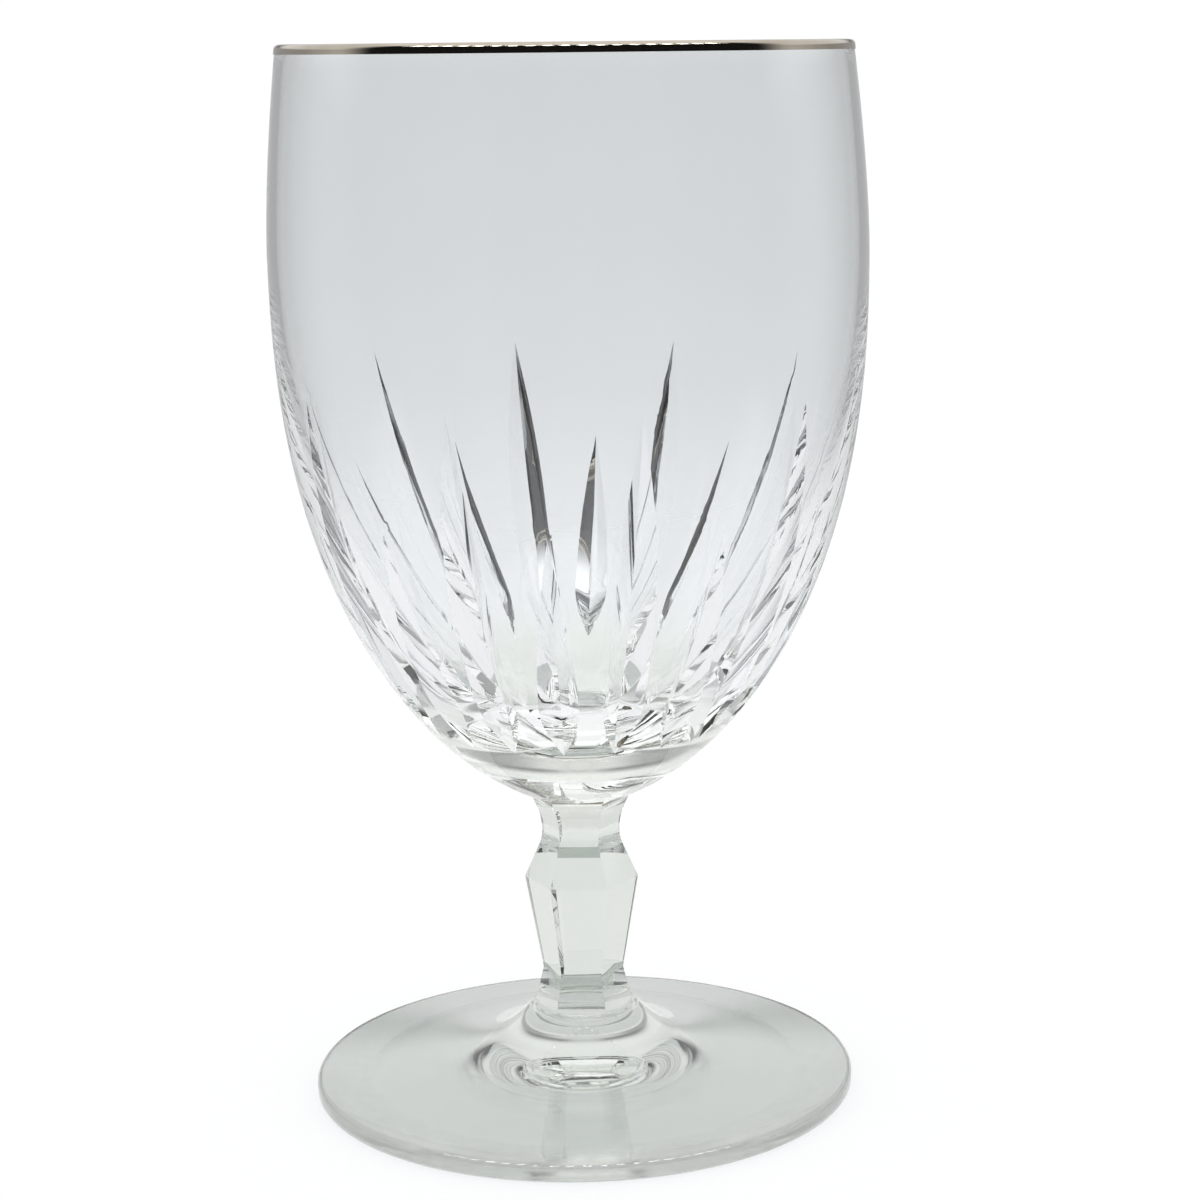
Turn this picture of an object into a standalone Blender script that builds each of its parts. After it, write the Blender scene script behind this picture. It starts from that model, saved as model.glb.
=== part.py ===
"""Footed iced tea glass: a cut bowl with a metal band on its lip, a six-sided stem and a round foot.

The glass stands on z = 0 with its axis on Z. The stack runs foot, stem, bowl and band, and each
piece takes its place from the one below it. -Y is the front: the nearest flat of the stem and the
nearest cuts are turned a little from it.
"""

import math

import bmesh
import bpy
from mathutils import Vector

# Foot
FOOT_RADIUS = 0.0433
FOOT_HEIGHT = 0.0136            # top of the collar, where the stem is fused on
FOOT_EDGE_HEIGHT = 0.0035       # thickness at the outer edge
FOOT_EDGE_ROUNDING = 0.0013
COLLAR_RADIUS = 0.0079          # low ring under the joint
COLLAR_HEIGHT = 0.0007          # above the groove round it
GROOVE_WIDTH = 0.0004           # at the groove's bottom
GROOVE_SLOPE_WIDTH = 0.00045    # from the bottom up to the edge of the boss's side
BOSS_FALL = 1.3                 # slope that the boss's side starts from
FLAT_FALL = 0.13                # slope of the flat of the foot
BOSS_END_RADIUS = 0.0126        # where the lines of the side and of the flat would meet
BOSS_SWEEP = 0.0030             # how gently the one runs into the other
REST_RING_WIDTH = 0.0070        # flat ring that the glass stands on
HOLLOW_DEPTH = 0.0028           # underside is lifted this far at the axis

# Stem, radii over the corners
STEM_LENGTH = 0.0349
STEM_SIDES = 6
STEM_TURN = math.radians(-4.0)  # nearest flat, turned from -Y towards +X
STEM_TOP_RADIUS = 0.0084
STEM_NECK_RADIUS = 0.0062
STEM_NECK_DROP = 0.0063         # neck below the stem's top
STEM_SHOULDER_RADIUS = 0.00685  # edge between the hollow neck and the straight slope to the knop
STEM_SHOULDER_DROP = 0.0090
STEM_KNOP_RADIUS = 0.0091
STEM_KNOP_DROP = 0.0140
STEM_ANKLE_RADIUS = 0.00645
STEM_ANKLE_RISE = 0.0056        # ankle above the stem's lower end
STEM_BOTTOM_RADIUS = 0.0079

# Bowl, heights from its seat on the stem
BOWL_LENGTH = 0.1156
BOWL_SEAT_RADIUS = 0.0086
BELLY_RADIUS = 0.0456
BELLY_RISE = 0.0851
RIM_RADIUS = 0.0431
RIM_SWEEP_POWER = 1.55
OUTER_RADIUS_POWER = 1.72       # fullness of the lower bowl outside
OUTER_HEIGHT_POWER = 2.37
INNER_RADIUS_POWER = 1.70       # fullness of the lower bowl inside
INNER_HEIGHT_POWER = 2.15
LIP_WALL = 0.0013
BELLY_WALL = 0.00145
INSIDE_END_RISE = 0.0080        # where the curve of the inside would end
FLOOR_RISE = 0.0120             # the inside's flatter floor
FLOOR_BOW = 5.0                 # per metre: the floor rises by this times its radius squared
FLOOR_BLEND = 0.0025            # how softly the inside's curve runs into the floor

# Mitre cuts round the lower bowl, heights from the bowl's seat
CUT_PAIRS = 10                  # one tall and one short cut in each pair
CUT_TURN = math.radians(12.6)   # first tall cut, turned from -Y towards +X
TALL_CUT_TOP = 0.0651
SHORT_CUT_TOP = 0.0476
CUT_BOTTOM = 0.0117
CUT_DEPTH = 0.0026
CUT_ANGLE = math.radians(102.0)  # between the two flats of a cut
CUT_POINT_LENGTH = 0.0300       # height over which a cut deepens from its point
CUT_HEEL_LENGTH = 0.0090        # height over which it runs out at the bottom

# Metal band over the lip
BAND_HEIGHT = 0.0013            # from the lip's top down its outer side
BAND_THICKNESS = 0.0002
BAND_GAP = 0.0001

# Fits
JOINT_GAP = 0.0003              # between the fused pieces
CUTTER_CLEARANCE = 0.0010       # a cutter stands this far out of the glass
MERGE_DISTANCE = 0.000001

# Facets
ROUND_STEPS = 60
LOWER_STEPS = 15
UPPER_STEPS = 5
LIP_STEPS = 4
SWEEP_STEPS = 14
SWEEP_CROWDING = 1.6            # facets of the boss's side are shorter near the boss
EDGE_STEPS = 3
HOLLOW_STEPS = 6
STEM_STEPS = 6
CUT_STEPS = 12

# Places that follow from the stack
STEM_BOTTOM_Z = FOOT_HEIGHT + JOINT_GAP
STEM_TOP_Z = STEM_BOTTOM_Z + STEM_LENGTH
BOWL_SEAT_Z = STEM_TOP_Z + JOINT_GAP
BELLY_Z = BOWL_SEAT_Z + BELLY_RISE
LIP_Z = BOWL_SEAT_Z + BOWL_LENGTH
LIP_CENTRE_Z = LIP_Z - LIP_WALL / 2
FLOOR_Z = BOWL_SEAT_Z + FLOOR_RISE
INSIDE_END_Z = BOWL_SEAT_Z + INSIDE_END_RISE

# The lower bowl closes at a point below its seat, so that it has the seat's radius at the seat
SEAT_SHARE = (1 - (BOWL_SEAT_RADIUS / BELLY_RADIUS) ** OUTER_RADIUS_POWER) ** (1 / OUTER_HEIGHT_POWER)
OUTER_DROP = BELLY_RISE / SEAT_SHARE


def clear_scene():
    """Start from an empty scene."""
    for scene_object in list(bpy.data.objects):
        bpy.data.objects.remove(scene_object, do_unlink=True)


def make_collection(name):
    """A new collection in the scene."""
    collection = bpy.data.collections.new(name)
    bpy.context.scene.collection.children.link(collection)
    return collection


def make_material(name, colour, roughness, metallic, transmission):
    """A Principled material."""
    material = bpy.data.materials.new(name)
    material.use_nodes = True
    shader = material.node_tree.nodes["Principled BSDF"]
    shader.inputs["Base Color"].default_value = (*colour, 1.0)
    shader.inputs["Roughness"].default_value = roughness
    shader.inputs["Metallic"].default_value = metallic
    shader.inputs["Transmission Weight"].default_value = transmission
    return material


def make_turned(name, profile, closed, steps, start, material, collection):
    """A solid turned about Z, starting at an angle, from (radius, height) points down its outer side."""
    edges = [(i, i + 1) for i in range(len(profile) - 1)]
    if closed:
        edges.append((len(profile) - 1, 0))
    mesh = bpy.data.meshes.new(name)
    points = [(radius * math.cos(start), radius * math.sin(start), height) for radius, height in profile]
    mesh.from_pydata(points, edges, [])
    mesh.materials.append(material)
    turned = bpy.data.objects.new(name, mesh)
    collection.objects.link(turned)
    screw = turned.modifiers.new("turn", "SCREW")
    screw.steps = steps
    screw.render_steps = steps
    screw.use_merge_vertices = True
    screw.merge_threshold = MERGE_DISTANCE
    screw.use_smooth_shade = steps == ROUND_STEPS
    return turned


def outer_radius(height):
    """Outer radius of the bowl at a height."""
    if height >= BELLY_Z:
        share = (height - BELLY_Z) / (LIP_Z - BELLY_Z)
        return BELLY_RADIUS - (BELLY_RADIUS - RIM_RADIUS) * share ** RIM_SWEEP_POWER
    share = (BELLY_Z - height) / OUTER_DROP
    return BELLY_RADIUS * (1 - share ** OUTER_HEIGHT_POWER) ** (1 / OUTER_RADIUS_POWER)


def inner_radius(height):
    """Inner radius of the upper bowl at a height."""
    share = (height - BELLY_Z) / (LIP_Z - BELLY_Z)
    return outer_radius(height) - (BELLY_WALL + (LIP_WALL - BELLY_WALL) * share)


def lower_curve(radius, drop, radius_power, height_power, end_turn):
    """Points of a full, rounded curve from the belly downwards, without the belly itself."""
    points = []
    for step in range(1, LOWER_STEPS + 1):
        turn = end_turn * step / LOWER_STEPS
        across = max(math.cos(turn), 0.0) ** (2 / radius_power)
        down = math.sin(turn) ** (2 / height_power)
        points.append((radius * across, BELLY_Z - drop * down))
    return points


def floored(radius, height):
    """Height of the inside where its curve runs into the flatter floor."""
    floor = FLOOR_Z + FLOOR_BOW * radius ** 2
    return (height + floor + math.hypot(height - floor, FLOOR_BLEND)) / 2


def bowl_profile():
    """From the middle of the floor up the inside, over the lip, down the outside to the seat."""
    floor_radius = BELLY_RADIUS - BELLY_WALL
    inside_drop = BELLY_Z - INSIDE_END_Z
    curve = lower_curve(floor_radius, inside_drop, INNER_RADIUS_POWER, INNER_HEIGHT_POWER, math.pi / 2)
    inside = [(radius, floored(radius, height)) for radius, height in curve[:-1]]
    inside.append((0.0, floored(0.0, INSIDE_END_Z)))
    heights = [BELLY_Z + (LIP_CENTRE_Z - BELLY_Z) * step / UPPER_STEPS for step in range(UPPER_STEPS + 1)]
    upper_inside = [(inner_radius(height), height) for height in heights]
    upper_outside = [(outer_radius(height), height) for height in reversed(heights)]
    lip_radius = (upper_outside[0][0] - upper_inside[-1][0]) / 2
    lip_middle = (upper_outside[0][0] + upper_inside[-1][0]) / 2
    lip = []
    for step in range(1, LIP_STEPS):
        turn = math.pi * (1 - step / LIP_STEPS)
        lip.append((lip_middle + lip_radius * math.cos(turn), LIP_CENTRE_Z + LIP_WALL / 2 * math.sin(turn)))
    seat_turn = math.acos((BOWL_SEAT_RADIUS / BELLY_RADIUS) ** (OUTER_RADIUS_POWER / 2))
    outside = lower_curve(BELLY_RADIUS, OUTER_DROP, OUTER_RADIUS_POWER, OUTER_HEIGHT_POWER, seat_turn)
    outside[-1] = (BOWL_SEAT_RADIUS, BOWL_SEAT_Z)
    return inside[::-1] + upper_inside + lip + upper_outside + outside + [(0.0, BOWL_SEAT_Z)]


def cut_depth(height, top, bottom):
    """Depth of a cut below the surface at a height; below zero past either end."""
    point = math.sin(math.pi / 2 * min(1.0, (top - height) / CUT_POINT_LENGTH))
    heel = math.sin(math.pi / 2 * min(1.0, (height - bottom) / CUT_HEEL_LENGTH))
    return CUT_DEPTH * min(point, heel)


def make_cutter(name, turn, top_rise, collection):
    """A V-edged blade that follows the bowl's side from the cut's point to its heel."""
    top = BOWL_SEAT_Z + top_rise
    bottom = BOWL_SEAT_Z + CUT_BOTTOM
    run_out = (top - bottom) / (4 * CUT_STEPS)
    half_angle = math.tan(CUT_ANGLE / 2)
    outward = Vector((math.sin(turn), -math.cos(turn), 0.0))
    sideways = Vector((math.cos(turn), math.sin(turn), 0.0))
    up = Vector((0.0, 0.0, 1.0))
    shape = bmesh.new()
    loops = []
    for step in range(CUT_STEPS + 1):
        height = top + run_out - (top - bottom + 2 * run_out) * step / CUT_STEPS
        slope = (outer_radius(height + run_out) - outer_radius(height - run_out)) / (2 * run_out)
        normal = (outward - slope * up).normalized()
        surface = outer_radius(height) * outward + height * up
        depth = cut_depth(height, top, bottom)
        half_width = (depth + CUTTER_CLEARANCE) * half_angle
        corners = (
            surface - depth * normal,
            surface + CUTTER_CLEARANCE * normal + half_width * sideways,
            surface + CUTTER_CLEARANCE * normal - half_width * sideways,
        )
        loops.append([shape.verts.new(corner) for corner in corners])
    for upper, lower in zip(loops, loops[1:]):
        for side in range(3):
            after = (side + 1) % 3
            shape.faces.new((upper[side], upper[after], lower[after], lower[side]))
    shape.faces.new(loops[0])
    shape.faces.new(loops[-1])
    bmesh.ops.recalc_face_normals(shape, faces=shape.faces)
    mesh = bpy.data.meshes.new(name)
    shape.to_mesh(mesh)
    shape.free()
    cutter = bpy.data.objects.new(name, mesh)
    collection.objects.link(cutter)
    cutter.hide_render = True
    cutter.display_type = "WIRE"
    return cutter


def make_bowl(material, parts, cutters):
    """The blown bowl with its ring of tall and short cuts."""
    bowl = make_turned("bowl", bowl_profile(), False, ROUND_STEPS, 0.0, material, parts)
    pitch = 2 * math.pi / CUT_PAIRS
    for pair in range(CUT_PAIRS):
        turn = CUT_TURN + pair * pitch
        for kind, offset, top_rise in (("tall", 0.0, TALL_CUT_TOP), ("short", pitch / 2, SHORT_CUT_TOP)):
            cutter = make_cutter(f"{kind}_cutter_{pair + 1}", turn + offset, top_rise, cutters)
            cut = bowl.modifiers.new(cutter.name, "BOOLEAN")
            cut.operation = "DIFFERENCE"
            cut.object = cutter


def make_band(material, parts):
    """The metal band: a hook-shaped ring over the lip and down its outer side."""
    heights = [LIP_Z - BAND_HEIGHT, LIP_CENTRE_Z]
    outer_edge = outer_radius(LIP_CENTRE_Z)
    inner_edge = inner_radius(LIP_CENTRE_Z)
    middle = (outer_edge + inner_edge) / 2

    def lip_line(offset):
        reach = (outer_edge - inner_edge) / 2 + offset
        rise = LIP_WALL / 2 + offset
        over = []
        for step in range(LIP_STEPS + 1):
            turn = math.pi * (1 - step / LIP_STEPS)
            over.append((middle + reach * math.cos(turn), LIP_CENTRE_Z + rise * math.sin(turn)))
        return over + [(outer_radius(heights[0]) + offset, heights[0])]

    outer_line = lip_line(BAND_GAP + BAND_THICKNESS)
    inner_line = lip_line(BAND_GAP)
    make_turned("rim_band", outer_line + inner_line[::-1], True, ROUND_STEPS, 0.0, material, parts)


def stem_profile():
    """Corner line of the stem: flare, hollow neck, slope to the knop, taper, ankle and lower flare."""
    neck_z = STEM_TOP_Z - STEM_NECK_DROP
    shoulder_z = STEM_TOP_Z - STEM_SHOULDER_DROP
    points = [(0.0, STEM_TOP_Z)]
    for end_radius, end_z, steps in (
        (STEM_TOP_RADIUS, STEM_TOP_Z, range(STEM_STEPS, 0, -1)),
        (STEM_SHOULDER_RADIUS, shoulder_z, range(STEM_STEPS + 1)),
    ):
        for step in steps:
            share = step / STEM_STEPS
            radius = STEM_NECK_RADIUS + (end_radius - STEM_NECK_RADIUS) * share ** 2
            points.append((radius, neck_z + (end_z - neck_z) * share))
    points.append((STEM_KNOP_RADIUS, STEM_TOP_Z - STEM_KNOP_DROP))
    points.append((STEM_ANKLE_RADIUS, STEM_BOTTOM_Z + STEM_ANKLE_RISE))
    points.append((STEM_BOTTOM_RADIUS, STEM_BOTTOM_Z))
    return points + [(0.0, STEM_BOTTOM_Z)]


def foot_profile():
    """From the top of the boss out over the foot, round its edge and in under it."""
    shoulder = FOOT_RADIUS - FOOT_EDGE_ROUNDING
    bend = (BOSS_FALL - FLAT_FALL) / 2
    edge_across = bend * (shoulder - BOSS_END_RADIUS)
    edge_lift = math.hypot(edge_across, BOSS_SWEEP) - edge_across
    groove_radius = COLLAR_RADIUS + GROOVE_WIDTH
    groove_z = FOOT_HEIGHT - COLLAR_HEIGHT
    points = [(0.0, FOOT_HEIGHT), (COLLAR_RADIUS, FOOT_HEIGHT)]
    points += [(COLLAR_RADIUS, groove_z), (groove_radius, groove_z)]
    side_start = groove_radius + GROOVE_SLOPE_WIDTH
    for step in range(SWEEP_STEPS + 1):
        radius = side_start + (shoulder - side_start) * (step / SWEEP_STEPS) ** SWEEP_CROWDING
        across = bend * (radius - BOSS_END_RADIUS)
        lift = math.hypot(across, BOSS_SWEEP) - across - edge_lift
        points.append((radius, FOOT_EDGE_HEIGHT + FLAT_FALL * (shoulder - radius) + lift))
    upper_corner = FOOT_EDGE_HEIGHT - FOOT_EDGE_ROUNDING
    for corner_z, first_turn in ((upper_corner, math.pi / 2), (FOOT_EDGE_ROUNDING, 0.0)):
        for step in range(EDGE_STEPS + 1):
            turn = first_turn - math.pi / 2 * step / EDGE_STEPS
            radius = shoulder + FOOT_EDGE_ROUNDING * math.cos(turn)
            points.append((radius, corner_z + FOOT_EDGE_ROUNDING * math.sin(turn)))
    hollow_radius = shoulder - REST_RING_WIDTH
    for step in range(HOLLOW_STEPS + 1):
        share = 1 - step / HOLLOW_STEPS
        points.append((hollow_radius * share, HOLLOW_DEPTH * (1 - share ** 2)))
    return points


def main():
    """Build the glass."""
    clear_scene()
    parts = make_collection("footed_iced_tea_glass")
    cutters = make_collection("cutters")
    glass = make_material("clear_crystal", (0.88, 0.90, 0.91), 0.02, 0.0, 1.0)
    metal = make_material("fired_platinum", (0.72, 0.70, 0.66), 0.14, 1.0, 0.0)
    make_bowl(glass, parts, cutters)
    make_turned("stem", stem_profile(), False, STEM_SIDES, STEM_TURN, glass, parts)
    make_turned("foot", foot_profile(), False, ROUND_STEPS, 0.0, glass, parts)
    make_band(metal, parts)


main()
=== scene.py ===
"""Looks of a footed iced tea glass, laid out as an add-on and run as a script.

Each operator models one piece of the glass in metres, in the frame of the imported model: the cut bowl,
the six-sided stem, the round foot and the metal band on the rim. The last one sets up the stage.
"""

import math

import bpy
from bpy.props import FloatProperty, FloatVectorProperty, IntProperty, PointerProperty
from mathutils import Euler, Matrix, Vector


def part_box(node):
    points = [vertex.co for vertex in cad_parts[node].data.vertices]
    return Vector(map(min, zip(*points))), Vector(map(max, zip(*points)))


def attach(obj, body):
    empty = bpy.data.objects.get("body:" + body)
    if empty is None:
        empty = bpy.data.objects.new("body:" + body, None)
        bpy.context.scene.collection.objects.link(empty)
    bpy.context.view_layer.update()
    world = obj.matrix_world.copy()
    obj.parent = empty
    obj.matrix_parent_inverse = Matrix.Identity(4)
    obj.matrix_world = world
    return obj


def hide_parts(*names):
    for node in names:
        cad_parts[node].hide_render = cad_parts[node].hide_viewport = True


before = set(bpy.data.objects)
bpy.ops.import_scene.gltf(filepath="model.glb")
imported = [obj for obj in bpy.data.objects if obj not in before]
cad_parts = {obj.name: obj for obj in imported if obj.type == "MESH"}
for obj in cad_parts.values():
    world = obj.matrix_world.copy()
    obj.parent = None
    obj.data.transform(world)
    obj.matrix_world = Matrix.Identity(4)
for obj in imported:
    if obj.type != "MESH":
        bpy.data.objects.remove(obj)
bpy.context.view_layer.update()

bl_info = {
    "name": "Footed Iced Tea Glass",
    "version": (1, 0, 0),
    "blender": (4, 5, 0),
    "location": "3D View > Sidebar > Glass",
    "description": "Models a cut footed iced tea glass with a metal band on its rim",
    "category": "Add Mesh",
}

IMAGE_SIDE = 1200               # pixels of the square picture that the camera frames
SENSOR = 36.0                   # millimetres
MILLIMETRE = 0.001
MERGE = 0.000001                # points closer than this are one
LEVEL_GAP = 0.00001             # heights closer than this are the same
FLAT_FACE = 0.99                # least upright share in the normal of a level face
ROUND_COLUMNS = 240             # columns of the turned foot and band

# Sharp angles in degrees: edges that turn more than this stay crisp
BOWL_SHARP = 22.0
STEM_SHARP = 12.0
FOOT_SHARP = 25.0
BAND_SHARP = 40.0


def linear(hex_colour):
    """Linear red, green and blue of an sRGB hex colour."""
    shares = [int(hex_colour[place:place + 2], 16) / 255 for place in (1, 3, 5)]
    return [share / 12.92 if share <= 0.04045 else ((share + 0.055) / 1.055) ** 2.4 for share in shares]


def length(name, description, default):
    """A size in metres that a user can change."""
    return FloatProperty(
        name=name, description=description, default=default, unit="LENGTH", precision=5,
    )


def colour(name, description, default):
    """A colour that a user can change."""
    return FloatVectorProperty(
        name=name, description=description, default=linear(default), subtype="COLOR",
    )


class GlassSizes(bpy.types.PropertyGroup):
    """Sizes of the glass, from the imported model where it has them."""

    foot_radius: length("Foot radius", "Outer radius of the foot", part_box("foot")[1].x)
    foot_height: length("Foot height", "Top of the collar under the stem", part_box("foot")[1].z)
    foot_edge: length("Foot edge", "Thickness of the foot at its outer edge", 0.0035)
    foot_rounding: length("Foot edge rounding", "Radius of the foot's edge", 0.0013)
    boss_radius: length("Boss radius", "Radius of the boss", 0.0083)
    hollow: length("Hollow", "How far the underside is lifted at the axis", 0.0028)
    rest_ring: length("Rest ring", "Width of the ring that the glass stands on", 0.0070)
    seat_z: length("Bowl seat", "Height of the bowl's seat on the stem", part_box("bowl")[0].z)
    lip_z: length("Lip", "Height of the bowl's lip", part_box("bowl")[1].z)
    seat_radius: length("Seat radius", "Radius of the bowl's seat", 0.0086)
    belly_radius: length("Belly radius", "Largest outer radius of the bowl", 0.0456)
    belly_rise: length("Belly rise", "Height of the widest place above the seat", 0.0851)
    rim_radius: length("Rim radius", "Outer radius at the lip", 0.0431)
    lip_wall: length("Lip wall", "Wall of the bowl at the lip", 0.0013)
    belly_wall: length("Belly wall", "Wall of the bowl at its widest place", 0.00145)
    inside_end: length("Inside's end", "Where the curve of the inside would end above the seat", 0.0080)
    floor_rise: length("Floor", "Height of the inside's flatter floor above the seat", 0.0120)
    cut_depth: length("Cut depth", "Depth of the mitre cuts", 0.0026)
    tall_top: length("Tall cuts", "Tip of the tall cuts above the seat", 0.0651)
    short_top: length("Short cuts", "Tip of the short cuts above the seat", 0.0476)
    cut_bottom: length("Cut heels", "Lower end of the cuts above the seat", 0.0117)
    cut_pairs: IntProperty(
        name="Pairs of cuts", description="Tall and short cuts round the bowl", default=10,
    )
    band_height: length("Band height", "Height of the metal band", 0.0013)


class GlassColours(bpy.types.PropertyGroup):
    """Colours of the glass, its band and the stage."""

    bowl: colour("Bowl", "Tint of the bowl's crystal", "#f7f9fa")
    base: colour("Base", "Tint of the bowl's thick base", "#f0f3ed")
    stem: colour("Stem", "Tint of the stem's crystal", "#e3e7e2")
    # Painted shade: the foot's dark tint stands in for the shadow that the foot casts on the floor
    # beneath it, seen through the thin glass
    foot: colour("Foot", "Tint of the foot's crystal", "#d2d6d1")
    band: colour("Band", "Fired metal band", "#c9c1b4")
    band_worn: colour("Worn band", "Metal band where it is rubbed", "#aba295")
    shadow: colour("Shadow", "What the crystal lets through to the floor", "#f7f8f9")
    floor: colour("Floor", "Plain pale floor", "#fefefe")
    tent: colour("Tent", "White tent round the glass", "#ffffff")


def add_node(tree, kind, inputs=None, **settings):
    """A node with its settings, and its inputs set to values or linked to sockets."""
    node = tree.nodes.new(kind)
    for name, value in settings.items():
        setattr(node, name, value)
    for key, value in (inputs or {}).items():
        if isinstance(value, bpy.types.NodeSocket):
            tree.links.new(value, node.inputs[key])
        else:
            node.inputs[key].default_value = value
    return node


def new_tree(name):
    """A new material without nodes, and its tree."""
    material = bpy.data.materials.new(name)
    material.use_nodes = True
    material.node_tree.nodes.clear()
    return material, material.node_tree


# Heights between which the tint goes over from the piece below, and between which the scuffs fade out
STEM_TINT = (0.005, 0.011)
BASE_TINT = (0.044, 0.050)
BOWL_TINT = (0.060, 0.070)
SCUFF_FADE = (0.0001, 0.0005)
CORD_WIDTH = 9 * MILLIMETRE
CORD_SQUASH = 0.15              # width of a cord over its length
SCUFF_SPACING = 2 * MILLIMETRE
WAVE_LENGTH = 14 * MILLIMETRE
WAVE_HEIGHT = 0.02 * MILLIMETRE
RUB_WIDTH = 6 * MILLIMETRE
STROKE_SPACING = 0.5 * MILLIMETRE
STROKE_HEIGHT = 0.002 * MILLIMETRE
CRYSTAL = "cut_crystal_fire_polished"
JOINT = "fused_crystal_joint"
PLATINUM = "fired_platinum_band"


def make_crystal(colours):
    """Cut crystal, fire-polished: clear, slightly grey, with a foot darkened by painted shade, faint
    cords and a scuffed foot ring.
    """
    material, tree = new_tree(CRYSTAL)
    place = add_node(tree, "ShaderNodeTexCoord").outputs["Object"]
    axes = add_node(tree, "ShaderNodeSeparateXYZ", {"Vector": place}).outputs
    # The thicker the glass, the greyer and greener it looks: the stem most, then the bowl's base. The
    # foot is tinted darkest as painted shade, standing in for the shadow it casts on the floor under it
    tint_and_foot_shade = (*colours.foot, 1.0)
    for above, (first, last) in (
        (colours.stem, STEM_TINT), (colours.base, BASE_TINT), (colours.bowl, BOWL_TINT),
    ):
        rise = add_node(
            tree, "ShaderNodeMapRange", {"Value": axes["Z"], "From Min": first, "From Max": last},
            interpolation_type="SMOOTHSTEP",
        ).outputs["Result"]
        tint_and_foot_shade = add_node(
            tree, "ShaderNodeMix", {0: rise, 6: tint_and_foot_shade, 7: (*above, 1.0)}, data_type="RGBA",
        ).outputs[2]
    # Cords: streaks about 9 mm wide and 60 mm long where the melt was not quite even
    stretched = add_node(tree, "ShaderNodeMapping", {"Vector": place, "Scale": (1.0, 1.0, CORD_SQUASH)})
    cords = add_node(
        tree, "ShaderNodeTexNoise",
        {"Vector": stretched.outputs["Vector"], "Scale": 1 / CORD_WIDTH, "Detail": 2.0},
    ).outputs["Fac"]
    shade = add_node(tree, "ShaderNodeMapRange", {"Value": cords, "To Min": 0.975, "To Max": 1.0})
    body = add_node(
        tree, "ShaderNodeVectorMath", {0: tint_and_foot_shade, "Scale": shade.outputs["Result"]}, operation="SCALE",
    ).outputs["Vector"]
    # Scuffs on the ring that the glass stands on, drawn 2 mm apart so that they show
    low = add_node(
        tree, "ShaderNodeMapRange",
        {"Value": axes["Z"], "From Min": SCUFF_FADE[0], "From Max": SCUFF_FADE[1],
         "To Min": 1.0, "To Max": 0.0},
    ).outputs["Result"]
    scuffs = add_node(
        tree, "ShaderNodeTexNoise", {"Vector": place, "Scale": 1 / SCUFF_SPACING, "Detail": 4.0},
    ).outputs["Fac"]
    worn = add_node(tree, "ShaderNodeMath", {0: low, 1: scuffs}, operation="MULTIPLY").outputs["Value"]
    polish = add_node(tree, "ShaderNodeMapRange", {"Value": cords, "To Min": 0.0, "To Max": 0.012})
    rough = add_node(
        tree, "ShaderNodeMath", {0: worn, 1: 0.25, 2: polish.outputs["Result"]},
        operation="MULTIPLY_ADD",
    ).outputs["Value"]
    # Fire polish leaves slow waves some 14 mm long and a few thousandths of a millimetre high
    waves = add_node(
        tree, "ShaderNodeTexNoise", {"Vector": place, "Scale": 1 / WAVE_LENGTH, "Detail": 1.0},
    ).outputs["Fac"]
    bump = add_node(
        tree, "ShaderNodeBump", {"Height": waves, "Strength": 0.35, "Distance": WAVE_HEIGHT},
    ).outputs["Normal"]
    glass = add_node(
        tree, "ShaderNodeBsdfPrincipled",
        {"Base Color": body, "Roughness": rough, "Normal": bump, "IOR": 1.54,
         "Transmission Weight": 1.0},
    )
    # Light passes through to the floor, so that the shadow stays as soft as clear glass makes it
    path = add_node(tree, "ShaderNodeLightPath").outputs
    lit = add_node(
        tree, "ShaderNodeMath", {0: path["Is Shadow Ray"], 1: path["Is Diffuse Ray"]},
        operation="MAXIMUM",
    ).outputs["Value"]
    clear = add_node(tree, "ShaderNodeBsdfTransparent", {"Color": (*colours.shadow, 1.0)})
    mixed = add_node(
        tree, "ShaderNodeMixShader", {0: lit, 1: glass.outputs["BSDF"], 2: clear.outputs["BSDF"]},
    )
    add_node(tree, "ShaderNodeOutputMaterial", {"Surface": mixed.outputs["Shader"]})
    return material


def make_seam():
    """Fused joint: the glass runs through it, so nothing is seen there."""
    material, tree = new_tree(JOINT)
    through = add_node(tree, "ShaderNodeBsdfTransparent")
    add_node(tree, "ShaderNodeOutputMaterial", {"Surface": through.outputs["BSDF"]})
    return material


def make_platinum(colours):
    """Fired platinum on the rim: warm bright metal, rubbed a little duller by washing and stacking."""
    material, tree = new_tree(PLATINUM)
    place = add_node(tree, "ShaderNodeTexCoord").outputs["Object"]
    rubbed = add_node(
        tree, "ShaderNodeTexNoise", {"Vector": place, "Scale": 1 / RUB_WIDTH, "Detail": 3.0},
    ).outputs["Fac"]
    tone = add_node(
        tree, "ShaderNodeMix", {0: rubbed, 6: (*colours.band, 1.0), 7: (*colours.band_worn, 1.0)},
        data_type="RGBA",
    )
    rough = add_node(tree, "ShaderNodeMapRange", {"Value": rubbed, "To Min": 0.03, "To Max": 0.10})
    # Brush strokes of the painted metal, some 0.5 mm apart
    strokes = add_node(
        tree, "ShaderNodeTexNoise", {"Vector": place, "Scale": 1 / STROKE_SPACING, "Detail": 2.0},
    ).outputs["Fac"]
    bump = add_node(
        tree, "ShaderNodeBump", {"Height": strokes, "Strength": 0.1, "Distance": STROKE_HEIGHT},
    ).outputs["Normal"]
    metal = add_node(
        tree, "ShaderNodeBsdfPrincipled",
        {"Base Color": tone.outputs[2], "Roughness": rough.outputs["Result"], "Normal": bump,
         "Metallic": 1.0},
    )
    add_node(tree, "ShaderNodeOutputMaterial", {"Surface": metal.outputs["BSDF"]})
    return material


def get_material(name, make):
    """The material of that name, made if it isn't there yet."""
    found = bpy.data.materials.get(name)
    return found if found else make()


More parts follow.
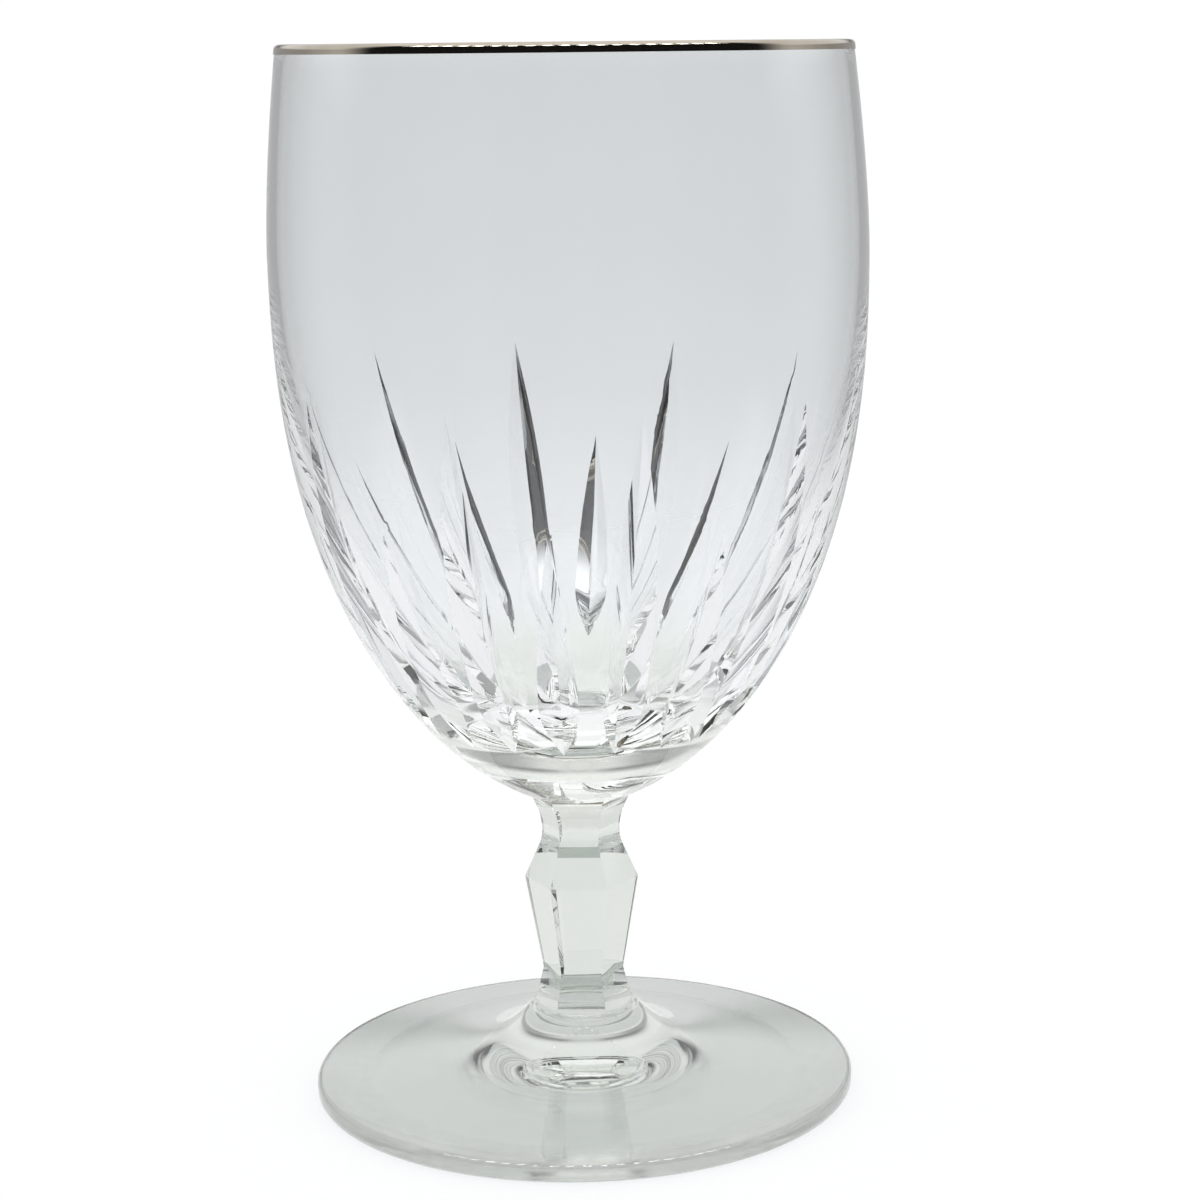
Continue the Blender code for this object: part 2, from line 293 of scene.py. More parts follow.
def crystal_of(context):
    """Crystal and joint materials of the glass."""
    colours = context.scene.glass_colours
    return (
        get_material(CRYSTAL, lambda: make_crystal(colours)),
        get_material(JOINT, make_seam),
    )


def start_piece(name):
    """Names the primitive that was just added and opens it for editing."""
    piece = bpy.context.object
    piece.name = name
    piece.data.name = name
    bpy.ops.object.mode_set(mode="EDIT")
    bpy.ops.mesh.select_mode(type="VERT")
    bpy.ops.mesh.select_all(action="SELECT")
    return piece


def close_piece():
    """Merges the doubles of the piece in edit mode, points its faces outwards and closes it."""
    bpy.ops.mesh.select_all(action="SELECT")
    bpy.ops.mesh.remove_doubles(threshold=MERGE)
    bpy.ops.mesh.normals_make_consistent(inside=False)
    bpy.ops.object.mode_set(mode="OBJECT")


def turn_piece(name, points, steps, turn=0.0):
    """A solid turned about Z from (radius, height) points, starting at a turn from the front."""
    bpy.ops.object.select_all(action="DESELECT")
    bpy.ops.mesh.primitive_plane_add(size=MILLIMETRE)
    piece = start_piece(name)
    bpy.ops.mesh.merge(type="CENTER")
    side, ahead = math.sin(turn), -math.cos(turn)
    bpy.ops.transform.translate(value=(points[0][0] * side, points[0][0] * ahead, points[0][1]))
    for (radius, height), (next_radius, next_height) in zip(points, points[1:]):
        step = next_radius - radius
        move = (step * side, step * ahead, next_height - height)
        bpy.ops.mesh.extrude_vertices_move(TRANSFORM_OT_translate={"value": move})
    bpy.ops.mesh.select_all(action="SELECT")
    bpy.ops.mesh.spin(steps=steps, angle=2 * math.pi, center=(0, 0, 0), axis=(0, 0, 1))
    close_piece()
    return piece


def finish_piece(piece, materials, node, sharp_angle):
    """Gives a piece its materials, its smooth sides and its place in the frame."""
    for material in materials:
        piece.data.materials.append(material)
    bpy.ops.object.select_all(action="DESELECT")
    piece.select_set(True)
    bpy.context.view_layer.objects.active = piece
    bpy.ops.object.shade_smooth_by_angle(angle=math.radians(sharp_angle))
    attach(piece, "root")
    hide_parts(node)


def open_joint(piece, height, radius):
    """Makes the flat faces of a fused joint clear, inside a radius about the axis."""
    for face in piece.data.polygons:
        flat = abs(face.center.z - height) < LEVEL_GAP and abs(face.normal.z) > FLAT_FACE
        if flat and math.hypot(face.center.x, face.center.y) < radius:
            face.material_index = 1


OUTER_RADIUS_POWER = 1.72       # fullness of the lower bowl outside
OUTER_HEIGHT_POWER = 2.37
INNER_RADIUS_POWER = 1.70       # fullness of the lower bowl inside
INNER_HEIGHT_POWER = 2.15
RIM_SWEEP_POWER = 1.55
FLOOR_BOW = 5.0                 # per metre: the floor rises by this times its radius squared
FLOOR_BLEND = 0.0025            # how softly the inside's curve runs into the floor
JOINT_RADIUS = 0.0068           # clear part of the two fused joints
OUTSIDE_ROWS = 84               # rows of the mesh from the belly down to the seat
INSIDE_ROWS = 44                # and down to the floor
UPPER_ROWS = 10                 # rows from the belly up to the lip
LIP_STEPS = 8
SLOPE_STEP = MILLIMETRE / 4     # height over which the slope of the wall is taken
CUT_TURN = 12.6                 # degrees from the front to the first tall cut
CUT_ANGLE = 102.0               # degrees between the two flats of a cut
POINT_LENGTH = 0.0300           # a cut deepens over this height below its tip
HEEL_LENGTH = 0.0090            # and runs out over this one above its heel
END_ROWS = (-2.4, -1.2, -0.5, -0.15, 0.0, 0.3, 0.9, 1.8, 3.0)   # millimetres from the end of a cut
ROW_GAP = 0.0003                # least space between rows, and how far off its curve a point may be
CUT_COLUMNS = 24                # columns of the mesh for one cut and the plain glass beside it
FLAT_COLUMNS = 7                # of them on each flat of a cut
SPREAD_LENGTH = 0.0040          # past its end, the columns of a cut spread out again over this height


class BowlShape:
    """Radii of the bowl at a height."""

    def __init__(self, sizes):
        self.sizes = sizes
        self.belly_z = sizes.seat_z + sizes.belly_rise
        self.inside_drop = sizes.belly_rise - sizes.inside_end
        self.seat_share = (sizes.seat_radius / sizes.belly_radius) ** OUTER_RADIUS_POWER
        self.outer_drop = sizes.belly_rise / (1 - self.seat_share) ** (1 / OUTER_HEIGHT_POWER)

    def outer(self, height):
        """Outer radius at a height."""
        sizes = self.sizes
        if height >= self.belly_z:
            share = (height - self.belly_z) / (sizes.lip_z - self.belly_z)
            narrowing = sizes.belly_radius - sizes.rim_radius
            return sizes.belly_radius - narrowing * share ** RIM_SWEEP_POWER
        share = (self.belly_z - height) / self.outer_drop
        return sizes.belly_radius * (1 - share ** OUTER_HEIGHT_POWER) ** (1 / OUTER_RADIUS_POWER)

    def inner(self, height):
        """Inner radius of the upper bowl at a height."""
        sizes = self.sizes
        share = (height - self.belly_z) / (sizes.lip_z - self.belly_z)
        return self.outer(height) - (sizes.belly_wall + (sizes.lip_wall - sizes.belly_wall) * share)

    def lower(self, radius, drop, powers, end_turn, steps):
        """Points of a full curve from the belly downwards, without the belly itself."""
        points = []
        for step in range(1, steps + 1):
            turn = end_turn * step / steps
            across = max(math.cos(turn), 0.0) ** (2 / powers[0])
            points.append((radius * across, self.belly_z - drop * math.sin(turn) ** (2 / powers[1])))
        return points

    def lip_line(self, offset, steps):
        """Points over the rounded lip from the outside in, lifted off the glass by an offset."""
        sizes = self.sizes
        centre_z = sizes.lip_z - sizes.lip_wall / 2
        outer, inner = self.outer(centre_z), self.inner(centre_z)
        line = []
        for step in range(steps + 1):
            turn = math.pi * step / steps
            across = ((outer - inner) / 2 + offset) * math.cos(turn)
            up = (sizes.lip_wall / 2 + offset) * math.sin(turn)
            line.append(((outer + inner) / 2 + across, centre_z + up))
        return line

    def rows(self):
        """Heights of the outside's rows from the seat to the belly, close at the ends of the cuts."""
        sizes = self.sizes
        ends = [
            sizes.seat_z + rise + step * MILLIMETRE
            for rise in (sizes.tall_top, sizes.short_top, sizes.cut_bottom) for step in END_ROWS
        ]
        curve = self.lower(
            sizes.belly_radius, self.outer_drop, (OUTER_RADIUS_POWER, OUTER_HEIGHT_POWER),
            math.acos(self.seat_share ** 0.5), OUTSIDE_ROWS,
        )
        plain = [height for _, height in curve[:-1] if min(abs(height - end) for end in ends) > ROW_GAP]
        return [sizes.seat_z] + sorted(ends + plain)

    def cut(self, height, top_rise):
        """A cut at a height: radius of its valley, reach of its flats outwards and their slope."""
        sizes = self.sizes
        top, bottom = sizes.seat_z + top_rise, sizes.seat_z + sizes.cut_bottom
        point = min(1.0, (top - height) / POINT_LENGTH)
        heel = min(1.0, (height - bottom) / HEEL_LENGTH)
        depth = sizes.cut_depth * math.sin(math.pi / 2 * max(0.0, min(point, heel)))
        outer = self.outer(height)
        tilt = math.hypot(1.0, (self.outer(height + SLOPE_STEP) - outer) / SLOPE_STEP)
        valley = outer - depth * tilt
        slope = math.tan(math.radians(CUT_ANGLE / 2)) / tilt
        square = 1 + slope ** 2
        reach = (math.sqrt(valley ** 2 - square * (valley ** 2 - outer ** 2)) - valley) / square
        return valley, reach, slope

    def floored(self, radius, height):
        """Height of the inside where its curve runs into the flatter floor."""
        floor = self.sizes.seat_z + self.sizes.floor_rise + FLOOR_BOW * radius ** 2
        return (height + floor + math.hypot(height - floor, FLOOR_BLEND)) / 2

    def profile(self):
        """From the seat's middle up the outside, over the lip and down to the middle of the floor."""
        sizes = self.sizes
        outside = [(self.outer(height), height) for height in self.rows()]
        inside = self.lower(
            sizes.belly_radius - sizes.belly_wall, self.inside_drop,
            (INNER_RADIUS_POWER, INNER_HEIGHT_POWER), math.pi / 2, INSIDE_ROWS,
        )
        inside = [(radius, self.floored(radius, height)) for radius, height in inside[:-1]]
        inside.append((0.0, self.floored(0.0, self.belly_z - self.inside_drop)))
        centre_z = sizes.lip_z - sizes.lip_wall / 2
        upper = [
            self.belly_z + (centre_z - self.belly_z) * step / UPPER_ROWS for step in range(UPPER_ROWS)
        ]
        return (
            [(0.0, sizes.seat_z), (JOINT_RADIUS, sizes.seat_z)] + outside
            + [(self.outer(height), height) for height in upper]
            + self.lip_line(0.0, LIP_STEPS)
            + [(self.inner(height), height) for height in reversed(upper)] + inside
        )


def cut_mitres(bowl, shape):
    """Slides the bowl's columns to the edges of the cuts and sinks those between to the flats."""
    sizes = shape.sizes
    half_pitch = math.pi / (2 * sizes.cut_pairs)
    half_columns = CUT_COLUMNS // 2
    for point in bowl.data.vertices:
        height, radius = point.co.z, math.hypot(point.co.x, point.co.y)
        between = sizes.seat_z + ROW_GAP < height < shape.belly_z - ROW_GAP
        if not between or radius < shape.outer(height) - ROW_GAP:
            continue
        turn = math.atan2(point.co.x, -point.co.y) - math.radians(CUT_TURN)
        number = math.floor(turn / (2 * half_pitch) + 0.5)
        centre = number * 2 * half_pitch
        column = round((turn - centre) / half_pitch * half_columns)
        top_rise = sizes.short_top if number % 2 else sizes.tall_top
        valley, reach, slope = shape.cut(height, top_rise)
        edge = math.atan2(slope * reach, valley + reach)
        past = max(height - sizes.seat_z - top_rise, sizes.seat_z + sizes.cut_bottom - height)
        if past > 0:
            edge = half_pitch * FLAT_COLUMNS / half_columns * min(1.0, past / SPREAD_LENGTH)
        share = abs(column) / FLAT_COLUMNS
        if share > 1:
            plain_share = (abs(column) - FLAT_COLUMNS) / (half_columns - FLAT_COLUMNS)
            aside = edge + (half_pitch - edge) * plain_share
        elif past > 0:
            aside = edge * share
        else:
            aside = math.atan2(slope * reach * share, valley + reach * share)
            radius = math.hypot(slope * reach * share, valley + reach * share)
        turned = math.radians(CUT_TURN) + centre + math.copysign(aside, column)
        point.co.x = radius * math.sin(turned)
        point.co.y = -radius * math.cos(turned)
    bpy.ops.object.mode_set(mode="EDIT")
    close_piece()


class GLASS_OT_bowl(bpy.types.Operator):
    """Turn the bowl and cut its ring of tall and short mitres"""

    bl_idname = "glass.bowl"
    bl_label = "Cut bowl"

    def execute(self, context):
        sizes = context.scene.glass_sizes
        shape = BowlShape(sizes)
        columns = 2 * sizes.cut_pairs * CUT_COLUMNS
        bowl = turn_piece("cut_bowl", shape.profile(), columns, math.radians(CUT_TURN))
        cut_mitres(bowl, shape)
        finish_piece(bowl, crystal_of(context), "bowl", BOWL_SHARP)
        open_joint(bowl, sizes.seat_z, JOINT_RADIUS)
        return {"FINISHED"}


STEM_SIDES = 6
STEM_TURN = -4.0                # degrees from the front to the nearest flat
# Corner line of the stem: radius over the corners and rise above its lower end
STEM_NECK = (0.0062, 0.0286)
STEM_SHOULDER = (0.00685, 0.0259)
STEM_KNOP = (0.0091, 0.0209)
STEM_ANKLE = (0.00645, 0.0056)
STEM_TOP_RADIUS = 0.0084
STEM_BOTTOM_RADIUS = 0.0079
SHOULDER_STEPS = 6              # rows from the shoulder to the neck
NECK_STEPS = 10                 # and from the neck to the top
SEAM_GAP = 0.00002              # keeps the faces of a fused joint apart
ARRIS = 0.00010                 # polish leaves the stem's edges this wide
ARRIS_STEPS = 3
END_INSET = 0.3 * MILLIMETRE    # width of the ring round the clear part of the stem's ends


class GLASS_OT_stem(bpy.types.Operator):
    """Draw the six-sided stem with its hollow neck, knop and ankle"""

    bl_idname = "glass.stem"
    bl_label = "Six-sided stem"

    def execute(self, context):
        sizes = context.scene.glass_sizes
        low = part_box("stem")[0].z
        bottom, top = sizes.foot_height + SEAM_GAP, sizes.seat_z - SEAM_GAP
        stations = [(STEM_BOTTOM_RADIUS, bottom)]
        for radius, rise in (STEM_ANKLE, STEM_KNOP, STEM_SHOULDER):
            stations.append((radius, low + rise))
        neck_radius, neck_z = STEM_NECK[0], low + STEM_NECK[1]
        for step in range(SHOULDER_STEPS - 1, 0, -1):
            share = step / SHOULDER_STEPS
            radius = neck_radius + (STEM_SHOULDER[0] - neck_radius) * share ** 2
            stations.append((radius, neck_z + (low + STEM_SHOULDER[1] - neck_z) * share))
        for step in range(NECK_STEPS + 1):
            share = step / NECK_STEPS
            radius = neck_radius + (STEM_TOP_RADIUS - neck_radius) * share ** 2
            stations.append((radius, neck_z + (top - neck_z) * share))
        bpy.ops.object.select_all(action="DESELECT")
        bpy.ops.mesh.primitive_circle_add(
            vertices=STEM_SIDES, radius=STEM_BOTTOM_RADIUS, fill_type="NGON",
            location=(0.0, 0.0, bottom),
            rotation=(0.0, 0.0, math.radians(180 / STEM_SIDES + STEM_TURN)),
        )
        bpy.ops.object.transform_apply(location=True, rotation=True, scale=True)
        stem = start_piece("six_sided_stem")
        for (radius, height), (next_radius, next_height) in zip(stations, stations[1:]):
            rise = (0.0, 0.0, next_height - height)
            bpy.ops.mesh.extrude_region_move(TRANSFORM_OT_translate={"value": rise})
            grow = next_radius / radius
            bpy.ops.transform.resize(value=(grow, grow, 1.0), center_override=(0.0, 0.0, next_height))
        bpy.ops.mesh.select_all(action="SELECT")
        bpy.ops.mesh.normals_make_consistent(inside=False)
        bpy.ops.mesh.select_all(action="DESELECT")
        bpy.ops.object.mode_set(mode="OBJECT")
        crisp = [low + STEM_ANKLE[1], low + STEM_KNOP[1], low + STEM_SHOULDER[1]]
        points = stem.data.vertices
        for edge in stem.data.edges:
            first, second = (points[index].co for index in edge.vertices)
            level = abs(first.z - second.z) < LEVEL_GAP
            edge.select = not level or any(abs(first.z - height) < LEVEL_GAP for height in crisp)
        bpy.ops.object.mode_set(mode="EDIT")
        bpy.ops.mesh.select_mode(type="EDGE")
        bpy.ops.mesh.bevel(offset=ARRIS, segments=ARRIS_STEPS, affect="EDGES")
        bpy.ops.mesh.select_mode(type="FACE")
        bpy.ops.mesh.select_all(action="DESELECT")
        bpy.ops.object.mode_set(mode="OBJECT")
        for face in stem.data.polygons:
            face.select = abs(face.normal.z) > FLAT_FACE
        bpy.ops.object.mode_set(mode="EDIT")
        bpy.ops.mesh.inset(thickness=END_INSET)
        bpy.ops.object.mode_set(mode="OBJECT")
        finish_piece(stem, crystal_of(context), "stem", STEM_SHARP)
        open_joint(stem, bottom, JOINT_RADIUS)
        open_joint(stem, top, JOINT_RADIUS)
        return {"FINISHED"}


COLLAR_HEIGHT = 0.0007          # low ring under the joint, above the groove round it
COLLAR_STEP = 0.0004            # the groove is this wide at the bottom
COLLAR_ROUNDING = 0.0002
BOSS_SHOULDER = 0.00875         # radius of the edge between the groove and the boss's side
SHOULDER_ROUNDING = 0.00010
BOSS_FALL = 1.3                 # slope that the boss's side starts from
FLAT_FALL = 0.13                # slope of the flat round it
BOSS_END = 0.0126               # radius where the lines of the side and of the flat would meet
SWEEP = 0.0030                  # how gently the one runs into the other
EDGE_START = 60.0               # degrees up the edge's curve, where the flat ends in a fine line
SIDE_STEPS = 60                 # rows from the boss to the edge
SIDE_CROWDING = 1.6             # how much closer they are at the boss
EDGE_STEPS = 8
HOLLOW_STEPS = 24


class GLASS_OT_foot(bpy.types.Operator):
    """Turn the round foot with its boss and its hollow underside"""

    bl_idname = "glass.foot"
    bl_label = "Round foot"

    def execute(self, context):
        sizes = context.scene.glass_sizes
        shoulder = sizes.foot_radius - sizes.foot_rounding
        edge_z = sizes.foot_edge - sizes.foot_rounding
        rim_radius = shoulder + sizes.foot_rounding * math.cos(math.radians(EDGE_START))
        rim_z = edge_z + sizes.foot_rounding * math.sin(math.radians(EDGE_START))
        collar = sizes.boss_radius - COLLAR_STEP
        boss_z = sizes.foot_height - COLLAR_HEIGHT
        points = [
            (0.0, sizes.foot_height), (JOINT_RADIUS, sizes.foot_height),
            (collar - COLLAR_ROUNDING, sizes.foot_height),
            (collar, sizes.foot_height - COLLAR_ROUNDING),
            (collar, boss_z), (sizes.boss_radius, boss_z),
        ]
        bend = (BOSS_FALL - FLAT_FALL) / 2

        def side_z(radius):
            across, across_rim = (bend * (place - BOSS_END) for place in (radius, rim_radius))
            lift = math.hypot(across, SWEEP) - across - math.hypot(across_rim, SWEEP) + across_rim
            return rim_z + FLAT_FALL * (rim_radius - radius) + lift

        share = 1 - SHOULDER_ROUNDING / (BOSS_SHOULDER - sizes.boss_radius)
        groove_z = boss_z + (side_z(BOSS_SHOULDER) - boss_z) * share
        points.append((BOSS_SHOULDER - SHOULDER_ROUNDING, groove_z))
        side_start = BOSS_SHOULDER + SHOULDER_ROUNDING
        for step in range(SIDE_STEPS + 1):
            radius = side_start + (rim_radius - side_start) * (step / SIDE_STEPS) ** SIDE_CROWDING
            points.append((radius, side_z(radius)))
        points[-1] = (rim_radius, rim_z)
        corners = ((edge_z, EDGE_START, 0.0), (sizes.foot_rounding, 0.0, -90.0))
        for corner_z, first_turn, last_turn in corners:
            for step in range(0 if last_turn else 1, EDGE_STEPS + 1):
                turn = math.radians(first_turn + (last_turn - first_turn) * step / EDGE_STEPS)
                radius = shoulder + sizes.foot_rounding * math.cos(turn)
                points.append((radius, corner_z + sizes.foot_rounding * math.sin(turn)))
        hollow_radius = shoulder - sizes.rest_ring
        for step in range(HOLLOW_STEPS + 1):
            share = 1 - step / HOLLOW_STEPS
            points.append((hollow_radius * share, sizes.hollow * (1 - share ** 2)))
        foot = turn_piece("round_foot", points, ROUND_COLUMNS)
        finish_piece(foot, crystal_of(context), "foot", FOOT_SHARP)
        open_joint(foot, sizes.foot_height, JOINT_RADIUS)
        return {"FINISHED"}


BAND_LIFT = 0.00003             # fired metal lies this far off the glass
BAND_SKIN = 0.00012             # and is drawn this thick
BAND_STEPS = 14


class GLASS_OT_rim_band(bpy.types.Operator):
    """Lay the fired metal band over the lip"""

    bl_idname = "glass.rim_band"
    bl_label = "Rim band"

    def execute(self, context):
        sizes = context.scene.glass_sizes
        shape = BowlShape(sizes)
        foot_z = sizes.lip_z - sizes.band_height
        line = []
        for offset in (BAND_LIFT + BAND_SKIN, BAND_LIFT):
            side = [(shape.outer(foot_z) + offset, foot_z)] + shape.lip_line(offset, BAND_STEPS)
            line += side if not line else side[::-1]
        band = turn_piece("rim_band_platinum", line + line[:1], ROUND_COLUMNS)
        platinum = get_material(PLATINUM, lambda: make_platinum(context.scene.glass_colours))
        finish_piece(band, (platinum,), "rim_band", BAND_SHARP)
        return {"FINISHED"}


# Camera of the picture, in millimetres and degrees
EYE = (0.0, -430.3, 164.6)
HEADING = 2.292                 # to the right of +Y
PITCH = 13.444                  # below the horizon
ROLL = 0.589
FOCAL_PIXELS = 2796.0
CENTRE_PIXEL = (687.3, 710.4)
NEAR_CLIP = 0.01                # metres
FLOOR_RADIUS = 0.36
FLOOR_FADE = 0.15               # the floor fades into the white backdrop from this radius on
FLOOR_Z = -0.00005
FLOOR_CORNERS = 128
LAMP_PITCH = 7.9                # degrees between the small lamps in front
LAMP_EDGE = 0.1                 # a lamp shows where its cosine wave is above this
LAMP_LEVEL = 18.0
CEILING_LEVEL = 1.25
TABLE_NEAR_LEVEL = 0.95         # the table right under the glass
TABLE_BACK_LEVEL = 0.8          # and behind it
WHITE_LEVEL = 1.035             # what lights the floor and is seen straight
MAX_BOUNCES = 128               # light turns many times in cut crystal before it gets out
KIND_BOUNCES = 100              # of them mirrored, and of them let through


def make_floor(colours):
    """Matt white board that fades into the backdrop."""
    material, tree = new_tree("matt_white_board")
    place = add_node(tree, "ShaderNodeTexCoord").outputs["Object"]
    radius = add_node(tree, "ShaderNodeVectorMath", {0: place}, operation="LENGTH").outputs["Value"]
    fade = add_node(
        tree, "ShaderNodeMapRange", {"Value": radius, "From Min": FLOOR_FADE, "From Max": FLOOR_RADIUS},
        interpolation_type="SMOOTHSTEP",
    ).outputs["Result"]
    board = add_node(tree, "ShaderNodeBsdfDiffuse", {"Color": (*colours.floor, 1.0)})
    gone = add_node(tree, "ShaderNodeBsdfTransparent")
    mixed = add_node(
        tree, "ShaderNodeMixShader", {0: fade, 1: board.outputs["BSDF"], 2: gone.outputs["BSDF"]},
    )
    add_node(tree, "ShaderNodeOutputMaterial", {"Surface": mixed.outputs["Shader"]})
    return material


def make_world(colours):
    """White tent for what is seen straight or through the glass, and a studio for what it mirrors."""
    world = bpy.data.worlds.new("white_tent")
    world.use_nodes = True
    tree = world.node_tree
    tree.nodes.clear()
    way = add_node(tree, "ShaderNodeTexCoord").outputs["Generated"]
    axes = add_node(tree, "ShaderNodeSeparateXYZ", {"Vector": way}).outputs
    path = add_node(tree, "ShaderNodeLightPath").outputs
    ahead = add_node(
        tree, "ShaderNodeMath", {0: axes["Y"], 1: -1.0}, operation="MULTIPLY",
    ).outputs["Value"]
    turn = add_node(
        tree, "ShaderNodeMath", {0: axes["X"], 1: ahead}, operation="ARCTAN2",
    ).outputs["Value"]
    level = {
        "turn": turn,
        "aside": add_node(tree, "ShaderNodeMath", {0: turn}, operation="ABSOLUTE").outputs["Value"],
        "rise": add_node(tree, "ShaderNodeMath", {0: axes["Z"]}, operation="ARCSINE").outputs["Value"],
        "mirrors": path["Glossy Depth"],
        "scatters": path["Diffuse Depth"],
        "passes": path["Transmission Depth"],
        "passing": path["Is Transmission Ray"],
    }
    # Levels that go smoothly from one value to another between two angles:
    # degrees to either side of the front, or above the horizon
    for name, angle, first, last, low, high in (
        ("room", "aside", 80, 100, 0.01, 1.0),
        ("gap_start", "aside", 148, 160, 0.0, 0.9),
        ("gap_end", "aside", 170, 178, 1.0, 0.0),
        ("gap_top", "rise", 6, 18, 1.0, 0.0),
        ("dim_back", "aside", 146, 166, 0.0, 0.35),
        ("dim_top", "rise", 8, 20, 1.0, 0.0),
        ("table_side", "aside", 84, 112, 0.08, 0.42),
        ("table_back", "aside", 162, 174, 0.0, 1.0),
        ("table_near", "rise", -55, -35, 1.0, 0.0),
        ("low", "rise", 5, 11, 1.0, 0.0),
        ("high", "rise", 46, 54, 0.0, 1.0),
        ("sweep", "rise", -17, 4, 0.99, 0.88),
        ("sweep_end", "aside", 108, 140, 0.96, 1.0),
        ("lamps_low", "rise", 39, 41, 0.0, 1.0),
        ("lamps_high", "rise", 45, 47, 1.0, 0.0),
        ("lamps_end", "aside", 74, 80, 1.0, 0.0),
    ):
        level[name] = add_node(
            tree, "ShaderNodeMapRange",
            {"Value": level[angle], "From Min": math.radians(first), "From Max": math.radians(last),
             "To Min": low, "To Max": high},
            interpolation_type="SMOOTHSTEP",
        ).outputs["Result"]
    # The dark front, the lit sides, the gaps beside the backdrop and the table make up the studio;
    # a row of small lamps shows only in what the outer surfaces mirror.
    # A depth above 0.5 means at least one turn of that kind
    for name, operation, first, second in (
        ("gap_sides", "MULTIPLY", "gap_start", "gap_end"),
        ("gap", "MULTIPLY", "gap_sides", "gap_top"),
        ("gap_left", "SUBTRACT", 1.0, "gap"),
        ("dim", "MULTIPLY", "dim_back", "dim_top"),
        ("dim_left", "SUBTRACT", 1.0, "dim"),
        ("walls", "MULTIPLY", "room", "gap_left"),
        ("walls_dimmed", "MULTIPLY", "walls", "dim_left"),
        ("bulbs", "MULTIPLY", "turn", 360 / LAMP_PITCH),
        ("bulbs_wave", "COSINE", "bulbs", 0.0),
        ("bulbs_on", "GREATER_THAN", "bulbs_wave", LAMP_EDGE),
        ("row", "MULTIPLY", "lamps_low", "lamps_high"),
        ("row_cut", "MULTIPLY", "row", "lamps_end"),
        ("lamps", "MULTIPLY", "row_cut", "bulbs_on"),
        ("outside", "LESS_THAN", "passes", 0.5),
        ("lamps_outside", "MULTIPLY", "lamps", "outside"),
        ("reflected", "GREATER_THAN", "mirrors", 0.5),
        ("off_board", "LESS_THAN", "scatters", 0.5),
        ("mirrored", "MULTIPLY", "reflected", "off_board"),
        ("backdrop", "MULTIPLY", "sweep", "sweep_end"),
    ):
        sockets = {0: level.get(first, first), 1: level.get(second, second)}
        level[name] = add_node(tree, "ShaderNodeMath", sockets, operation=operation).outputs["Value"]
    for name, share, off, on in (
        ("table_far", "table_back", "table_side", TABLE_BACK_LEVEL),
        ("table", "table_near", "table_far", TABLE_NEAR_LEVEL),
        ("above_table", "low", "walls_dimmed", "table"),
        ("under_ceiling", "high", "above_table", CEILING_LEVEL),
        ("studio", "lamps_outside", "under_ceiling", LAMP_LEVEL),
        ("through", "passing", WHITE_LEVEL, "backdrop"),
        ("seen", "mirrored", "through", "studio"),
    ):
        sockets = {0: level[share], 2: level.get(off, off), 3: level.get(on, on)}
        level[name] = add_node(tree, "ShaderNodeMix", sockets, data_type="FLOAT").outputs[0]
    light = add_node(
        tree, "ShaderNodeBackground", {"Color": (*colours.tent, 1.0), "Strength": level["seen"]},
    )
    add_node(tree, "ShaderNodeOutputWorld", {"Surface": light.outputs["Background"]})
    return world


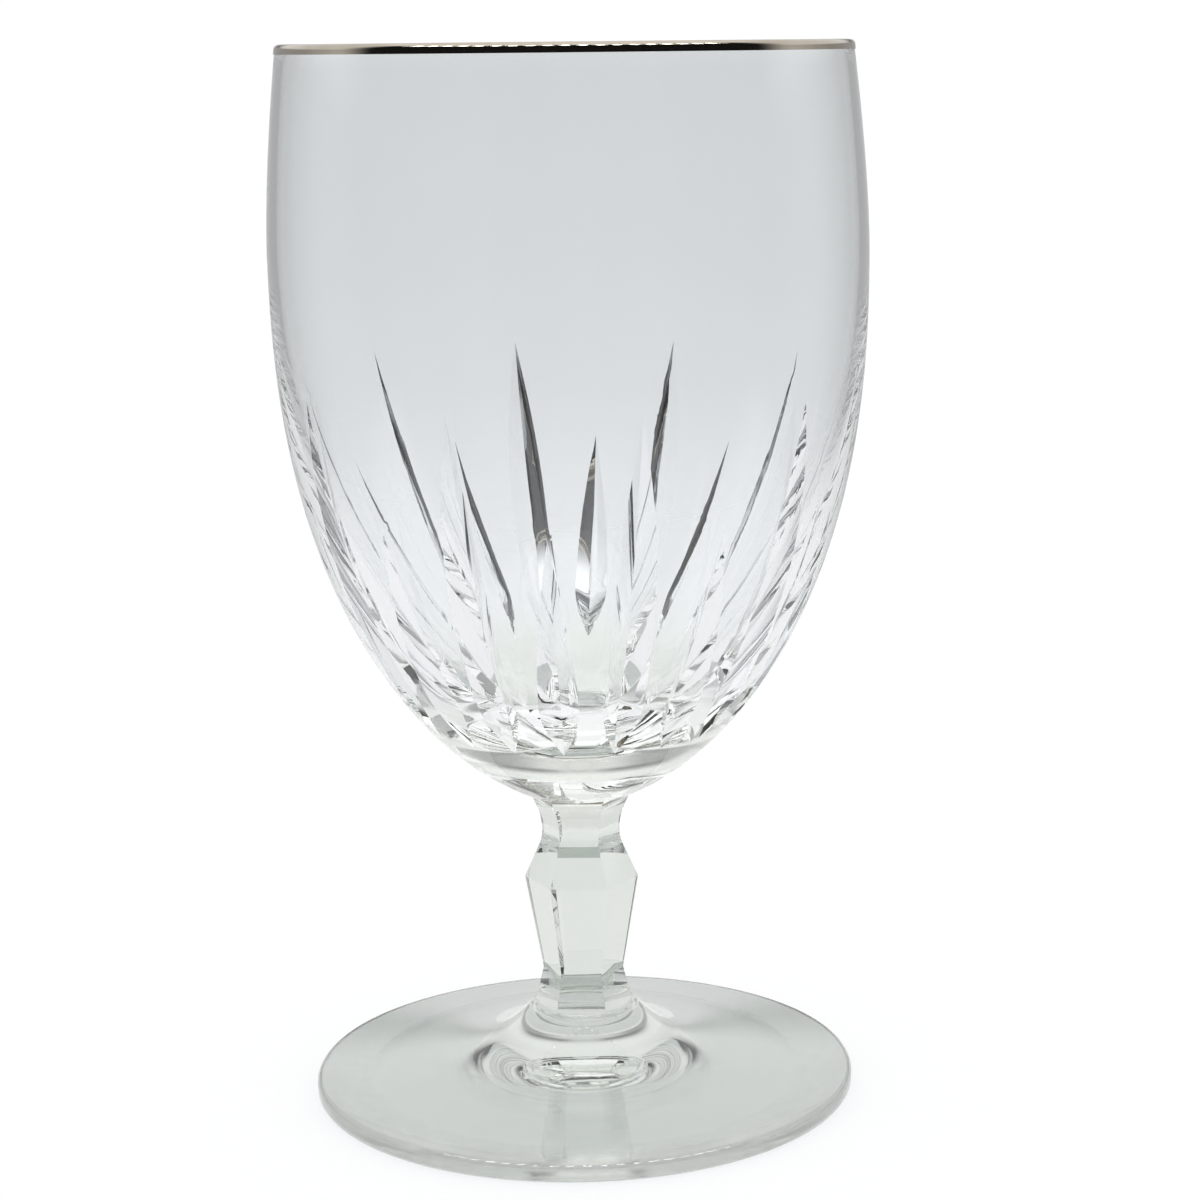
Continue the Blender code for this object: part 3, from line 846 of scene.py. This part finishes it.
class GLASS_OT_stage(bpy.types.Operator):
    """Set up the floor, the light and the camera"""

    bl_idname = "glass.stage"
    bl_label = "Stage"

    def execute(self, context):
        bpy.ops.object.select_all(action="DESELECT")
        bpy.ops.mesh.primitive_circle_add(
            vertices=FLOOR_CORNERS, radius=FLOOR_RADIUS, fill_type="NGON", location=(0.0, 0.0, FLOOR_Z),
        )
        bpy.ops.object.transform_apply(location=True)
        board = context.object
        board.name = "floor_board"
        board.data.materials.append(make_floor(context.scene.glass_colours))
        context.scene.world = make_world(context.scene.glass_colours)
        level = Euler((math.radians(90 - PITCH), 0.0, math.radians(-HEADING))).to_matrix()
        rolled = level @ Matrix.Rotation(math.radians(-ROLL), 3, "Z")
        eye = [part * MILLIMETRE for part in EYE]
        bpy.ops.object.camera_add(location=eye, rotation=rolled.to_euler())
        camera = context.object
        camera.data.sensor_width = SENSOR
        camera.data.lens = FOCAL_PIXELS / IMAGE_SIDE * SENSOR
        camera.data.shift_x = (IMAGE_SIDE / 2 - CENTRE_PIXEL[0]) / IMAGE_SIDE
        camera.data.shift_y = (CENTRE_PIXEL[1] - IMAGE_SIDE / 2) / IMAGE_SIDE
        camera.data.clip_start = NEAR_CLIP
        context.scene.camera = camera
        context.scene.view_settings.view_transform = "Standard"
        context.scene.cycles.max_bounces = MAX_BOUNCES
        context.scene.cycles.glossy_bounces = KIND_BOUNCES
        context.scene.cycles.transmission_bounces = KIND_BOUNCES
        return {"FINISHED"}


class GLASS_PT_panel(bpy.types.Panel):
    """Lists the sizes, the colours and the steps of the glass"""

    bl_idname = "GLASS_PT_panel"
    bl_label = "Footed Iced Tea Glass"
    bl_space_type = "VIEW_3D"
    bl_region_type = "UI"
    bl_category = "Glass"

    def draw(self, context):
        for group in (context.scene.glass_sizes, context.scene.glass_colours):
            for name in group.bl_rna.properties.keys():
                if name not in ("rna_type", "name"):
                    self.layout.prop(group, name)
        for step in OPERATORS:
            self.layout.operator(step.bl_idname)


OPERATORS = (GLASS_OT_bowl, GLASS_OT_stem, GLASS_OT_foot, GLASS_OT_rim_band, GLASS_OT_stage)
CLASSES = (GlassSizes, GlassColours, *OPERATORS, GLASS_PT_panel)


def register():
    """Adds the classes and the settings to Blender."""
    for part in CLASSES:
        bpy.utils.register_class(part)
    bpy.types.Scene.glass_sizes = PointerProperty(type=GlassSizes)
    bpy.types.Scene.glass_colours = PointerProperty(type=GlassColours)


def unregister():
    """Takes them out again."""
    del bpy.types.Scene.glass_sizes
    del bpy.types.Scene.glass_colours
    for part in reversed(CLASSES):
        bpy.utils.unregister_class(part)


def main():
    """Makes every piece and the stage."""
    register()
    bpy.ops.glass.bowl()
    bpy.ops.glass.stem()
    bpy.ops.glass.foot()
    bpy.ops.glass.rim_band()
    bpy.ops.glass.stage()


if __name__ == "__main__":
    main()
